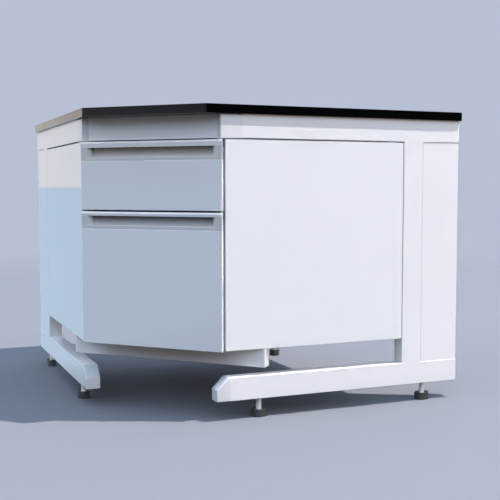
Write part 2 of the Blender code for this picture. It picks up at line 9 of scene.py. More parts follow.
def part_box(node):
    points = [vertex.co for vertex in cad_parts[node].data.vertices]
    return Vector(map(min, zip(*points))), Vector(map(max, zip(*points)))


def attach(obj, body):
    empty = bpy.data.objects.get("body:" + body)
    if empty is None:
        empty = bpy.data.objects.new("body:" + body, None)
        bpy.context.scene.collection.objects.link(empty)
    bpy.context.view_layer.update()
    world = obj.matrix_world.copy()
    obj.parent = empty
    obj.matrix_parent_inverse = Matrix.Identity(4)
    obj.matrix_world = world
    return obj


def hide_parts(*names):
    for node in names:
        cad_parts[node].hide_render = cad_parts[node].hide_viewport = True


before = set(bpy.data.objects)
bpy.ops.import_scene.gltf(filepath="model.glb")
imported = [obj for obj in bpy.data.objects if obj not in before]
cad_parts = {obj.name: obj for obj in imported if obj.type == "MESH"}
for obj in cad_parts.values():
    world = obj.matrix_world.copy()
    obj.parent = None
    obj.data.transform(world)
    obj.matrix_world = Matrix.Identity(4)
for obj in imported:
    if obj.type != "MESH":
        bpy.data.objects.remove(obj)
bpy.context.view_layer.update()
scene = bpy.context.scene
scene.view_settings.view_transform = "Standard"


# Camera: at the height of a seated eye, in front of the bench and to the right of its drawers.
# A short telephoto lens keeps the uprights upright, and the whole bench fits the square frame.
EYE_PLACE = (1.1281, -2.6385, 0.5946)
EYE_TILT = math.radians(85.99)
EYE_TURN = math.radians(22.46)
LENS_LENGTH = 64.79
SIGHT_END = 500.0
bpy.ops.object.camera_add(location=EYE_PLACE, rotation=(EYE_TILT, 0.0, EYE_TURN))
camera = bpy.context.object
camera.name = "bench_camera"
camera.data.lens = LENS_LENGTH
camera.data.clip_end = SIGHT_END
scene.camera = camera


# Floor and sky: one pale lavender sweep. The floor is a wide disc that takes the bench's shadow and
# fades into the sky's own tone with distance, so no horizon shows behind the bench.
SWEEP = (0.479, 0.527, 0.658, 1.0)
FLOOR_RADIUS = 900.0
FLOOR_SIDES = 96
FLOOR_ROUGHNESS = 0.9
FLOOR_TONE = (0.170, 0.184, 0.211, 1.0)
FADE_START = 2.2
FADE_END = 6.0
BOUNCE_TONE = (0.085, 0.070, 0.058, 1.0)
SOFTBOX = (7.4, 6.7, 6.0, 1.0)
MIX_FIRST = 6
MIX_SECOND = 7
MIX_RESULT = 2


def place(tree, kind, name, **inputs):
    """A shader node with its name and its plain input values."""
    node = tree.nodes.new(kind)
    node.name = name
    node.label = name
    for socket, value in inputs.items():
        node.inputs[socket.replace("_", " ")].default_value = value
    return node


def wire(tree, *links):
    """Join nodes: each link names a node and its output, then the node and the input that it feeds."""
    for source, output, target, entry in links:
        tree.links.new(source.outputs[output], target.inputs[entry])


def maths(tree, name, operation):
    """A node that works out one number from one or two others."""
    node = place(tree, "ShaderNodeMath", name)
    node.operation = operation
    return node


def blend(tree, name, colour):
    """A node that leads from a first colour over to this second one."""
    node = place(tree, "ShaderNodeMix", name)
    node.data_type = "RGBA"
    node.inputs[MIX_SECOND].default_value = colour
    return node


def ramp(tree, name, *stops):
    """A colour ramp from (place, colour) pairs."""
    node = place(tree, "ShaderNodeValToRGB", name)
    for index, (position, colour) in enumerate(stops):
        stop = node.color_ramp.elements[index] if index < 2 else node.color_ramp.elements.new(position)
        stop.position = position
        stop.color = (*colour, 1.0)
    return node


def new_material(name):
    """A new material, with its node tree and the shader in it."""
    material = bpy.data.materials.new(name)
    material.use_nodes = True
    return material, material.node_tree, material.node_tree.nodes["Principled BSDF"]


bpy.ops.mesh.primitive_circle_add(vertices=FLOOR_SIDES, radius=FLOOR_RADIUS, fill_type="NGON")
floor = bpy.context.object
floor.name = "floor_sweep"
sweep, tree, matte = new_material("lavender_sweep")
matte.inputs["Base Color"].default_value = FLOOR_TONE
matte.inputs["Roughness"].default_value = FLOOR_ROUGHNESS
matte.inputs["Specular IOR Level"].default_value = 0.0
# Painted reflection: to glossy rays the floor glows pale on the left and dark on the right; to bounced rays
# it glows a constant warm tone as painted bounce light.
far_tone = place(tree, "ShaderNodeEmission", "tone of the sky", Color=SWEEP)
warm_glow = place(tree, "ShaderNodeEmission", "warm bounce", Color=BOUNCE_TONE)
painted_reflection = place(tree, "ShaderNodeEmission", "painted reflection in gloss")
spot = place(tree, "ShaderNodeTexCoord", "place on the floor")
axes = place(tree, "ShaderNodeSeparateXYZ", "place by axis")
sideways = place(tree, "ShaderNodeMapRange", "left to right", From_Min=-1.5, From_Max=1.5)
floor_painted_reflection = ramp(tree, "pale on the left, dark on the right",
                   (0.25, (0.56, 0.75, 0.93)), (0.40, (0.03, 0.03, 0.035)))
reach = place(tree, "ShaderNodeVectorMath", "distance from the bench")
reach.operation = "LENGTH"
fade = place(tree, "ShaderNodeMapRange", "fade into the sky", From_Min=FADE_START, From_Max=FADE_END)
fade.interpolation_type = "SMOOTHSTEP"
rays = place(tree, "ShaderNodeLightPath", "kind of ray")
seen_far = maths(tree, "far and seen", "MULTIPLY")
blend_far = place(tree, "ShaderNodeMixShader", "near or far")
blend_gloss = place(tree, "ShaderNodeMixShader", "straight or in gloss")
blend_bounce = place(tree, "ShaderNodeMixShader", "straight or bounced")
wire(tree,
     (spot, "Object", reach, 0),
     (spot, "Object", axes, "Vector"),
     (axes, "X", sideways, "Value"),
     (sideways, "Result", floor_painted_reflection, "Fac"),
     (floor_painted_reflection, "Color", painted_reflection, "Color"),
     (reach, "Value", fade, "Value"),
     (fade, "Result", seen_far, 0),
     (rays, "Is Camera Ray", seen_far, 1),
     (seen_far, "Value", blend_far, "Fac"),
     (matte, "BSDF", blend_far, 1),
     (far_tone, "Emission", blend_far, 2),
     (rays, "Is Glossy Ray", blend_gloss, "Fac"),
     (blend_far, "Shader", blend_gloss, 1),
     (painted_reflection, "Emission", blend_gloss, 2),
     (rays, "Is Diffuse Ray", blend_bounce, "Fac"),
     (blend_gloss, "Shader", blend_bounce, 1),
     (warm_glow, "Emission", blend_bounce, 2),
     (blend_bounce, "Shader", tree.nodes["Material Output"], "Surface"))
floor.data.materials.append(sweep)

sky = bpy.data.worlds.new("studio_sky")
scene.world = sky
sky.use_nodes = True
tree = sky.node_tree
air = tree.nodes["Background"]
air.name = "light of the sky"
height_tone = ramp(tree, "dim at the horizon", (0.0, (0.03, 0.03, 0.03)), (0.20, (0.24, 0.26, 0.30)),
                   (0.42, (1.25, 1.50, 1.86)), (1.0, (1.10, 1.32, 1.65)))
backdrop = place(tree, "ShaderNodeBackground", "tone behind the bench", Color=SWEEP)
walls = place(tree, "ShaderNodeBackground", "walls in gloss")
way = place(tree, "ShaderNodeTexCoord", "direction")
axes = place(tree, "ShaderNodeSeparateXYZ", "direction by axis")
sideways = place(tree, "ShaderNodeMapRange", "left to right", From_Min=-1.0, From_Max=1.0)
wall_tone = ramp(tree, "white wall on the left, dark on the right", (0.10, (1.08, 1.00, 0.93)),
                 (0.30, (0.42, 0.50, 0.66)), (0.75, (0.01, 0.01, 0.012)))
wall_height = place(tree, "ShaderNodeMapRange", "walls fade upwards", From_Min=0.07, From_Max=0.16,
                    To_Min=1.0, To_Max=0.06)
low_walls = place(tree, "ShaderNodeVectorMath", "low walls")
low_walls.operation = "SCALE"
in_front = place(tree, "ShaderNodeMapRange", "in front of the bench", From_Min=-0.1, From_Max=-0.3)
box_height = ramp(tree, "height of the softbox", (0.34, (0.0, 0.0, 0.0)), (0.44, (1.0, 1.0, 1.0)),
                  (0.84, (1.0, 1.0, 1.0)), (0.90, (0.0, 0.0, 0.0)))
box_share = maths(tree, "softbox in gloss", "MULTIPLY")
with_box = blend(tree, "walls and softbox", SOFTBOX)
rays = place(tree, "ShaderNodeLightPath", "kind of ray")
gloss_mix = place(tree, "ShaderNodeMixShader", "light or gloss")
view_mix = place(tree, "ShaderNodeMixShader", "light or view")
wire(tree,
     (way, "Generated", axes, "Vector"),
     (axes, "X", sideways, "Value"),
     (axes, "Z", height_tone, "Fac"),
     (height_tone, "Color", air, "Color"),
     (sideways, "Result", wall_tone, "Fac"),
     (axes, "Y", in_front, "Value"),
     (axes, "Z", box_height, "Fac"),
     (in_front, "Result", box_share, 0),
     (box_height, "Color", box_share, 1),
     (box_share, "Value", with_box, "Factor"),
     (axes, "Z", wall_height, "Value"),
     (wall_tone, "Color", low_walls, 0),
     (wall_height, "Result", low_walls, "Scale"),
     (low_walls, "Vector", with_box, MIX_FIRST),
     (with_box, MIX_RESULT, walls, "Color"),
     (rays, "Is Glossy Ray", gloss_mix, "Fac"),
     (air, "Background", gloss_mix, 1),
     (walls, "Background", gloss_mix, 2),
     (rays, "Is Camera Ray", view_mix, "Fac"),
     (gloss_mix, "Shader", view_mix, 1),
     (backdrop, "Background", view_mix, 2),
     (view_mix, "Shader", tree.nodes["World Output"], "Surface"))


# Lamps: a small warm lamp high up behind the right-hand frame rakes along its faces, as bright far away as
# near by. A wide soft lamp on either side lifts the faces of the frames without touching the drawers.
LAMP_PLACE = (4.64, 1.14, 9.02)
LAMP_POWER = 70.0
LAMP_TINT = (1.0, 0.90, 0.84)
LAMP_SIZE = 0.04
FILL_WIDTH = 3.0
FILL_LENGTH = 5.0
FILLS = {
    "right_fill": {"spot": (6.0, 0.0, 1.2), "turn": 90.0, "power": 110.0, "tint": (1.0, 0.82, 0.72)},
    "left_fill": {"spot": (-6.0, -0.5, 1.5), "turn": -90.0, "power": 22.0, "tint": (0.36, 0.54, 1.0)},
}
bpy.ops.object.light_add(type="POINT", location=LAMP_PLACE)
lamp = bpy.context.object
lamp.name = "raking_lamp"
lamp.data.energy = LAMP_POWER
lamp.data.color = LAMP_TINT
lamp.data.shadow_soft_size = LAMP_SIZE
lamp.data.use_nodes = True
tree = lamp.data.node_tree
falloff = place(tree, "ShaderNodeLightFalloff", "as bright far as near", Strength=1.0)
wire(tree, (falloff, "Constant", tree.nodes["Emission"], "Strength"))
for name, fill_light in FILLS.items():
    bpy.ops.object.light_add(type="AREA", location=fill_light["spot"],
                             rotation=(0.0, math.radians(fill_light["turn"]), 0.0))
    fill = bpy.context.object
    fill.name = name
    fill.data.shape = "RECTANGLE"
    fill.data.size = FILL_WIDTH
    fill.data.size_y = FILL_LENGTH
    fill.data.energy = fill_light["power"]
    fill.data.color = fill_light["tint"]
    fill.visible_glossy = False


# Levelling feet: a moulded black cup, oval along its beam, stands on the floor with a raised rim. A stem
# plated with zinc is pressed into it, seats against the frame with a smooth sleeve, and is threaded above.
SIDES = ("right", "left")
HANDS = {"right": 1.0, "left": -1.0}
SIDE_TURN = math.radians(45.0)
UP = Vector((0.0, 0.0, 1.0))
PAD_HEIGHT = 0.0200
PAD_NARROWING = 0.80
RIM_WIDTH = 0.0022
CUP_DEPTH = 0.0020
PAD_EASE = 0.0006
FLARE_RADIUS = 0.0078
FLARE_HEIGHT = 0.006
FLARE_STEPS = 5
SLEEVE_RADIUS = 0.007
SLEEVE_TOP = 0.0497
THREAD_CORE = 0.0042
THREAD_CREST = 0.0048
THREAD_PITCH = 0.0015
STEM_LEAD_IN = 0.0015
STEM_EASE = 0.0003
TURN_SIDES = 48
MERGE_GAP = 0.00001
SMOOTH_ANGLE = math.radians(32.0)
FLAT_WEIGHT = 100
DUST_TONE = (0.40, 0.385, 0.36, 1.0)


def along_side(side):
    """The direction of a side frame, from the front to the rear."""
    return Vector((HANDS[side] * math.cos(SIDE_TURN), math.sin(SIDE_TURN), 0.0))


def out_of_side(side):
    """The direction in which a side frame faces."""
    return Vector((HANDS[side] * math.sin(SIDE_TURN), -math.cos(SIDE_TURN), 0.0))


def deselect():
    """Nothing selected, so that the next operator acts on its own piece alone."""
    bpy.ops.object.select_all(action="DESELECT")


def pick_faces(wanted):
    """In edit mode, select only the faces for which wanted(centre, normal) holds."""
    bpy.ops.mesh.select_mode(type="FACE")
    bpy.ops.mesh.select_all(action="DESELECT")
    shape = bmesh.from_edit_mesh(bpy.context.edit_object.data)
    for face in shape.faces:
        face.select_set(wanted(face.calc_center_median(), face.normal))
    bmesh.update_edit_mesh(bpy.context.edit_object.data)


def ease_edges(piece, width, segments=2, limit=40.0):
    """Round the edges of a piece for good, and shade it with flat faces kept flat."""
    bpy.context.view_layer.objects.active = piece
    eased = piece.modifiers.new("eased_edges", "BEVEL")
    eased.width = width
    eased.segments = segments
    eased.limit_method = "ANGLE"
    eased.angle_limit = math.radians(limit)
    bpy.ops.object.modifier_apply(modifier=eased.name)
    bpy.ops.object.shade_smooth_by_angle(angle=SMOOTH_ANGLE)
    flats = piece.modifiers.new("flat_faces", "WEIGHTED_NORMAL")
    flats.keep_sharp = True
    flats.weight = FLAT_WEIGHT
    bpy.ops.object.modifier_apply(modifier=flats.name)


def hand_over(piece, name, body, slot, material, *stands_for):
    """Name a finished piece, give it its material and let it ride on its body."""
    piece.name = name
    piece.data.name = name
    piece.data.materials.clear()
    piece.data.materials.append(material)
    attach(piece, body)
    if stands_for:
        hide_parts(*stands_for)


def copied(pattern, shift):
    """A copy of a modelled pattern with its own mesh, moved or turned there for good."""
    mesh = pattern.data.copy()
    mesh.transform(shift)
    twin = bpy.data.objects.new(pattern.name, mesh)
    scene.collection.objects.link(twin)
    return twin


def new_effect(name, output, **inputs):
    """An empty shader node group with number inputs and one number output."""
    effect = bpy.data.node_groups.new(name, "ShaderNodeTree")
    for label, start in inputs.items():
        socket = effect.interface.new_socket(name=label, in_out="INPUT", socket_type="NodeSocketFloat")
        socket.default_value = start
    effect.interface.new_socket(name=output, in_out="OUTPUT", socket_type="NodeSocketFloat")
    return effect, effect.nodes.new("NodeGroupInput"), effect.nodes.new("NodeGroupOutput")


def use_effect(tree, effect, **values):
    """A shared effect placed in a material with its own values."""
    node = tree.nodes.new("ShaderNodeGroup")
    node.node_tree = effect
    node.name = effect.name
    node.label = effect.name
    for socket, value in values.items():
        node.inputs[socket].default_value = value
    return node


fine_grain, given, result = new_effect("fine_grain", "Height", Size=900.0)
spot = place(fine_grain, "ShaderNodeTexCoord", "place on the piece")
grain = place(fine_grain, "ShaderNodeTexNoise", "grain", Detail=3.0, Roughness=0.6)
wire(fine_grain,
     (spot, "Object", grain, "Vector"),
     (given, "Size", grain, "Scale"),
     (grain, "Fac", result, "Height"))

floor_dust, given, result = new_effect("floor_dust", "Mask", Reach=0.12, Amount=0.3)
spot = place(floor_dust, "ShaderNodeTexCoord", "place on the piece")
axes = place(floor_dust, "ShaderNodeSeparateXYZ", "height over the floor")
settle = place(floor_dust, "ShaderNodeMapRange", "thin out upwards", To_Min=1.0, To_Max=0.0)
settle.interpolation_type = "SMOOTHSTEP"
clouds = place(floor_dust, "ShaderNodeTexNoise", "patches", Scale=45.0, Detail=6.0, Roughness=0.65)
patchy = maths(floor_dust, "patches of dust", "MULTIPLY")
thin = maths(floor_dust, "amount of dust", "MULTIPLY")
wire(floor_dust,
     (spot, "Object", axes, "Vector"),
     (spot, "Object", clouds, "Vector"),
     (axes, "Z", settle, "Value"),
     (given, "Reach", settle, "From Max"),
     (settle, "Result", patchy, 0),
     (clouds, "Fac", patchy, 1),
     (patchy, "Value", thin, 0),
     (given, "Amount", thin, 1),
     (thin, "Value", result, "Mask"))

handling_marks, given, result = new_effect("handling_marks", "Mask", Size=6.0)
spot = place(handling_marks, "ShaderNodeTexCoord", "place on the piece")
smears = place(handling_marks, "ShaderNodeTexNoise", "smears", Detail=5.0, Roughness=0.55, Distortion=0.6)
spread = place(handling_marks, "ShaderNodeMapRange", "spread of the smears", From_Min=0.38, From_Max=0.68)
wire(handling_marks,
     (spot, "Object", smears, "Vector"),
     (given, "Size", smears, "Scale"),
     (smears, "Fac", spread, "Value"),
     (spread, "Result", result, "Mask"))


def surface(name, tones, gloss, grain_size, grain_depth, dust=0.0, marks_size=6.0):
    """A finish whose tone and gloss drift between two values, with a fine grain and dust near the floor."""
    material, tree, shader = new_material(name)
    marks = use_effect(tree, handling_marks, Size=marks_size)
    tone = blend(tree, "drift of the tone", (*tones[1], 1.0))
    tone.inputs[MIX_FIRST].default_value = (*tones[0], 1.0)
    sheen = place(tree, "ShaderNodeMapRange", "drift of the gloss", To_Min=gloss[0], To_Max=gloss[1])
    dirt = use_effect(tree, floor_dust, Amount=dust)
    dusty = blend(tree, "dust on the finish", DUST_TONE)
    grain = use_effect(tree, fine_grain, Size=grain_size)
    relief = place(tree, "ShaderNodeBump", "relief of the grain", Strength=0.5, Distance=grain_depth)
    wire(tree,
         (marks, "Mask", tone, "Factor"),
         (marks, "Mask", sheen, "Value"),
         (dirt, "Mask", dusty, "Factor"),
         (tone, MIX_RESULT, dusty, MIX_FIRST),
         (dusty, MIX_RESULT, shader, "Base Color"),
         (sheen, "Result", shader, "Roughness"),
         (grain, "Height", relief, "Height"),
         (relief, "Normal", shader, "Normal"))
    return material


pad_plastic = surface("moulded_black_pad", ((0.056, 0.057, 0.060), (0.066, 0.067, 0.070)), (0.34, 0.44),
                      grain_size=2200.0, grain_depth=0.00001, dust=0.04, marks_size=40.0)

plated_steel, tree, shader = new_material("zinc_plated_stem")
shader.inputs["Metallic"].default_value = 0.05
spot = place(tree, "ShaderNodeTexCoord", "place on the stem")
rings = place(tree, "ShaderNodeTexWave", "turning lines", Scale=1100.0, Distortion=1.5, Detail=2.0)
rings.bands_direction = "Z"
plating = ramp(tree, "tone of the plating", (0.2, (0.90, 0.89, 0.88)), (0.8, (0.97, 0.96, 0.95)))
sheen = place(tree, "ShaderNodeMapRange", "gloss of the plating", To_Min=0.32, To_Max=0.46)
wire(tree,
     (spot, "Object", rings, "Vector"),
     (rings, "Fac", plating, "Fac"),
     (plating, "Color", shader, "Base Color"),
     (rings, "Fac", sheen, "Value"),
     (sheen, "Result", shader, "Roughness"))

foot_low, foot_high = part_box("back_foot")
pad_radius = (foot_high[0] - foot_low[0]) / 2
stem_top = foot_high[2]
cup_floor = PAD_HEIGHT - CUP_DEPTH
flare_foot = cup_floor + FLARE_HEIGHT / (FLARE_STEPS + 1)

deselect()
bpy.ops.mesh.primitive_cylinder_add(vertices=TURN_SIDES, radius=pad_radius, depth=PAD_HEIGHT,
                                    location=(0.0, 0.0, PAD_HEIGHT / 2))
pad = bpy.context.object
bpy.ops.object.transform_apply(location=True)
bpy.ops.object.mode_set(mode="EDIT")
pick_faces(lambda centre, normal: normal.z > 0.9)
bpy.ops.mesh.inset(thickness=RIM_WIDTH)
bpy.ops.mesh.extrude_region_move(TRANSFORM_OT_translate={"value": (0.0, 0.0, -CUP_DEPTH)})
bpy.ops.object.mode_set(mode="OBJECT")
ease_edges(pad, PAD_EASE, segments=3)

deselect()
bpy.ops.mesh.primitive_circle_add(vertices=TURN_SIDES, radius=FLARE_RADIUS, fill_type="NGON",
                                  location=(0.0, 0.0, flare_foot))
stem = bpy.context.object
bpy.ops.object.transform_apply(location=True)
stem_steps = [(SLEEVE_RADIUS + (FLARE_RADIUS - SLEEVE_RADIUS) * (1.0 - step / FLARE_STEPS) ** 2,
               cup_floor + FLARE_HEIGHT * step / FLARE_STEPS) for step in range(1, FLARE_STEPS + 1)]
stem_steps += [(SLEEVE_RADIUS, SLEEVE_TOP), (THREAD_CORE, SLEEVE_TOP),
               (THREAD_CORE, stem_top - STEM_LEAD_IN), (THREAD_CORE - STEM_LEAD_IN / 2, stem_top)]
bpy.ops.object.mode_set(mode="EDIT")
bpy.ops.mesh.select_all(action="SELECT")
radius = FLARE_RADIUS
height = flare_foot
for next_radius, next_height in stem_steps:
    bpy.ops.mesh.extrude_region_move(TRANSFORM_OT_translate={"value": (0.0, 0.0, next_height - height)})
    bpy.ops.transform.resize(value=(next_radius / radius, next_radius / radius, 1.0))
    radius = next_radius
    height = next_height
bpy.ops.mesh.select_all(action="SELECT")
bpy.ops.mesh.normals_make_consistent(inside=False)
bpy.ops.object.mode_set(mode="OBJECT")
ease_edges(stem, STEM_EASE)

deselect()
bpy.ops.mesh.primitive_circle_add(vertices=3, radius=THREAD_PITCH / 2, rotation=(0.0, 0.0, -math.pi / 2))
thread = bpy.context.object
bpy.ops.object.transform_apply(rotation=True)
thread.rotation_euler = (math.pi / 2, 0.0, 0.0)
thread.location = (THREAD_CREST - THREAD_PITCH / 2, 0.0, SLEEVE_TOP + THREAD_PITCH)
bpy.ops.object.transform_apply(location=True, rotation=True)
winding = thread.modifiers.new("thread_turns", "SCREW")
winding.steps = TURN_SIDES // 2
winding.render_steps = TURN_SIDES // 2
winding.screw_offset = THREAD_PITCH
winding.iterations = int((stem_top - SLEEVE_TOP - 2 * STEM_LEAD_IN) / THREAD_PITCH) - 1
winding.merge_threshold = MERGE_GAP
bpy.ops.object.modifier_apply(modifier=winding.name)
bpy.ops.object.mode_set(mode="EDIT")
bpy.ops.mesh.select_all(action="SELECT")
bpy.ops.mesh.fill_holes(sides=0)
bpy.ops.mesh.select_all(action="SELECT")
bpy.ops.mesh.normals_make_consistent(inside=False)
bpy.ops.object.mode_set(mode="OBJECT")
stem.select_set(True)
bpy.context.view_layer.objects.active = stem
bpy.ops.object.join()

for corner in ("right_front", "right_rear", "left_front", "left_rear", "back"):
    foot_low, foot_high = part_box(corner + "_foot")
    under = Matrix.Translation(((foot_low[0] + foot_high[0]) / 2, (foot_low[1] + foot_high[1]) / 2, 0.0))
    side = corner.split("_")[0]
    across = out_of_side(side) if side in SIDES else Vector((1.0, 0.0, 0.0))
    oval = under @ Matrix.Scale(PAD_NARROWING, 4, across)
    hand_over(copied(pad, oval), corner + "_pad", corner + "_leveller", "foot", pad_plastic,
              corner + "_foot")
    hand_over(copied(stem, under), corner + "_stem", corner + "_leveller", "zinc", plated_steel,
              corner + "_foot")
bpy.data.objects.remove(pad)
bpy.data.objects.remove(stem)


# Foot beams: rectangular steel tube with welded rear ends, coated with white powder that flows into a
# faint orange peel. They lie along the floor, where dust settles on their flanks.
EASE = 0.0003
TUBE_ROUND = 0.003
TIGHT_ROUND = 0.0012
FLAT_ANGLE = math.radians(0.2)


def tighten_tube(*section):
    """In edit mode, draw a tube's outer rounds in to a tight radius, in the plane of two section axes."""
    shape = bmesh.from_edit_mesh(bpy.context.edit_object.data)
    spans = []
    for axis in section:
        places = [point.co.dot(axis) for point in shape.verts]
        spans.append((axis, (max(places) + min(places)) / 2, (max(places) - min(places)) / 2))
    for point in shape.verts:
        offsets = [point.co.dot(axis) - middle for axis, middle, half in spans]
        depths = [abs(offset) - (half - TUBE_ROUND) for offset, (axis, middle, half) in zip(offsets, spans)]
        if min(depths) < -MERGE_GAP or math.hypot(*depths) < TUBE_ROUND - EASE:
            continue
        for (axis, middle, half), offset, depth in zip(spans, offsets, depths):
            tight = half - TIGHT_ROUND + depth * TIGHT_ROUND / TUBE_ROUND
            point.co += axis * (math.copysign(tight, offset) - offset)
    bmesh.update_edit_mesh(bpy.context.edit_object.data)


def dressed(node, body, slot, material, ease=EASE, shape_up=None):
    """A merged copy of a solid with hairline-eased edges and smooth rounds, which stands for the solid."""
    deselect()
    piece = bpy.data.objects.new(node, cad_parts[node].data.copy())
    scene.collection.objects.link(piece)
    piece.select_set(True)
    bpy.context.view_layer.objects.active = piece
    bpy.ops.object.mode_set(mode="EDIT")
    bpy.ops.mesh.select_all(action="SELECT")
    bpy.ops.mesh.remove_doubles(threshold=MERGE_GAP)
    bpy.ops.mesh.dissolve_limited(angle_limit=FLAT_ANGLE)
    if shape_up:
        shape_up()
    bpy.ops.object.mode_set(mode="OBJECT")
    ease_edges(piece, ease)
    hand_over(piece, "finished_" + node, body, slot, material, node)


powder_coat = surface("white_powder_coat", ((0.86, 0.87, 0.89), (0.84, 0.85, 0.87)), (0.05, 0.07),
                      grain_size=700.0, grain_depth=0.00001, dust=0.10)
for side in SIDES:
    dressed(side + "_foot_beam", "bench", "frame_paint", powder_coat,
            shape_up=lambda: tighten_tube(out_of_side(side), UP))


# Nose caps: injection-moulded plugs with a sloping front, pushed into the front ends of the foot beams.
# Their plastic is greyer than the paint and has a fine spark-eroded grain; the slope is painted darker as
# shade.
CAP_EASE = 0.0006
# Painted shade: faces that slope up and forward take this darker tone.
SLOPE_SHADE_TONE = (0.50, 0.555, 0.605, 1.0)
cap_plastic = surface("moulded_white_cap", ((0.745, 0.75, 0.775), (0.725, 0.73, 0.755)), (0.26, 0.34),
                      grain_size=2600.0, grain_depth=0.00002, dust=0.12)
tree = cap_plastic.node_tree
facing = place(tree, "ShaderNodeTexCoord", "facing of the surface")
axes = place(tree, "ShaderNodeSeparateXYZ", "facing by axis")
slope = place(tree, "ShaderNodeMapRange", "sloping front", From_Min=0.45, From_Max=0.60)
slope_shaded = blend(tree, "painted shade on the slope", SLOPE_SHADE_TONE)
wire(tree,
     (facing, "Normal", axes, "Vector"),
     (axes, "Z", slope, "Value"),
     (slope, "Result", slope_shaded, "Factor"),
     (tree.nodes["dust on the finish"], MIX_RESULT, slope_shaded, MIX_FIRST),
     (slope_shaded, MIX_RESULT, tree.nodes["Principled BSDF"], "Base Color"))
for side in SIDES:
    dressed(side + "_nose_cap", "bench", "cap_plastic", cap_plastic, ease=CAP_EASE)


# Posts: uprights of the same tube between foot beam and top beam. Their welds are ground flush and coated
# over, so post and beams run into each other without a seam.
WELD_DEPTH = 0.004
WELD_PROUD = 0.00003


def pick_points(wanted):
    """In edit mode, select only the points for which wanted(place) holds."""
    bpy.ops.mesh.select_mode(type="VERT")
    bpy.ops.mesh.select_all(action="DESELECT")
    shape = bmesh.from_edit_mesh(bpy.context.edit_object.data)
    for point in shape.verts:
        point.select_set(wanted(point.co))
    bmesh.update_edit_mesh(bpy.context.edit_object.data)


def push_end(axis, step, reach=0.002):
    """In edit mode, move the end of a piece that lies furthest along an axis by a step along it."""
    shape = bmesh.from_edit_mesh(bpy.context.edit_object.data)
    furthest = max(point.co.dot(axis) for point in shape.verts)
    pick_points(lambda spot: spot.dot(axis) > furthest - reach)
    bpy.ops.transform.translate(value=axis * step)


def sink_welds(side):
    """Run a post's two ends into the beams, a hair proud of their faces."""
    tighten_tube(along_side(side), out_of_side(side))
    push_end(UP, WELD_DEPTH)
    push_end(-UP, WELD_DEPTH)
    bpy.ops.mesh.select_all(action="SELECT")
    bpy.ops.transform.shrink_fatten(value=WELD_PROUD)


for side in SIDES:
    dressed(side + "_post", "bench", "frame_paint", powder_coat, shape_up=lambda: sink_welds(side))


# Service panels: shallow trays folded from thin sheet, clipped in behind the posts to close the space
# where pipes and cables run, and coated like the frame. Their faces lie almost level with the posts.
FACE_RISE = 0.0014
PANEL_DROP = 0.0008
SEAM_WIDTH = 0.0001


def raise_face(side):
    """Bring a service panel's face forward, its lower edge down, and its front end clear of the post."""
    push_end(out_of_side(side), FACE_RISE)
    push_end(-UP, PANEL_DROP)
    push_end(-along_side(side), -SEAM_WIDTH)


for side in SIDES:
    dressed(side + "_service_panel", "bench", "frame_paint", powder_coat, shape_up=lambda: raise_face(side))


# Top beams: tube under the worktop's side edges, welded to the posts, with closed rear ends. A moulded
# block is plugged into each front end and takes the apron.
BLOCK_DROP = 0.0020
BLOCK_REACH = 0.004
TOP_SEAT = 0.0012


def seat_beam(side):
    """Tighten a top beam's rounds and let its upper ones meet the worktop."""
    tighten_tube(out_of_side(side), UP)
    push_end(UP, TOP_SEAT)


block_plastic = surface("moulded_white_block", ((0.80, 0.81, 0.83), (0.78, 0.79, 0.81)), (0.16, 0.22),
                        grain_size=2600.0, grain_depth=0.00002)
for side in SIDES:
    dressed(side + "_top_beam", "bench", "frame_paint", powder_coat, shape_up=lambda: seat_beam(side))
    dressed(side + "_top_corner", "bench", "cap_plastic", block_plastic,
            shape_up=lambda: push_end(-UP, BLOCK_DROP, reach=BLOCK_REACH))


# Front apron: a channel folded from sheet and coated like the frame. It is screwed between the corner
# blocks, under the worktop's front edge.
dressed("front_apron", "bench", "frame_paint", powder_coat)


# Rear rails and leg: tube that ties the frames together along the wall edges and carries the worktop's
# rear corner, coated like the frame.
for side in SIDES:
    dressed(side + "_rear_rail", "bench", "frame_paint", powder_coat)
dressed("rear_leg", "bench", "frame_paint", powder_coat)


# Base rail: tube from frame to frame, screwed under the cabinet and coated like the frame. A moulded plug
# closes each end; its white is set brighter than the caps and blocks, as painted light on its end.
plug_plastic_painted_bright = surface("moulded_plug_painted_bright", ((0.95, 0.95, 0.96), (0.93, 0.93, 0.94)), (0.16, 0.22),
                       grain_size=2600.0, grain_depth=0.00002)
dressed("base_rail", "bench", "frame_paint", powder_coat)
for side in SIDES:
    dressed(side + "_rail_plug", "bench", "cap_plastic", plug_plastic_painted_bright)


# Cabinet body: the two outer sides are lacquered to a high gloss, with an edge band on the end by the
# post. The inner boards are faced with white melamine, which has a fine pearl relief, and the rear ones
# with a plain grey backing.
EDGE_BAND = {"right": 0.0024, "left": 0.0032}
SIDE_RISE = {"right": 0.0010, "left": 0.0018}


def finish_side(side):
    """Bring an outer side board almost level with the post, and add the edge band beside the post."""
    push_end(out_of_side(side), SIDE_RISE[side])
    push_end(along_side(side), EDGE_BAND[side])


lacquer = surface("white_gloss_lacquer", ((0.85, 0.87, 0.89), (0.84, 0.86, 0.88)), (0.03, 0.045),
                  grain_size=140.0, grain_depth=0.00001)
melamine = surface("white_melamine", ((0.82, 0.83, 0.84), (0.80, 0.81, 0.82)), (0.36, 0.46),
                   grain_size=2400.0, grain_depth=0.00003)
backing = surface("grey_backing_board", ((0.47, 0.48, 0.50), (0.44, 0.45, 0.47)), (0.46, 0.58),
                  grain_size=1800.0, grain_depth=0.00004, dust=0.15)
for side in SIDES:
    dressed(side + "_carcass_side", "bench", "lacquer", lacquer, shape_up=lambda: finish_side(side))
    dressed(side + "_carcass_rear", "bench", "board", backing)
    dressed(side + "_partition", "bench", "board", melamine)
dressed("carcass_back", "bench", "board", backing)
for panel in ("carcass_bottom", "carcass_top"):
    dressed(panel, "bench", "board", melamine)


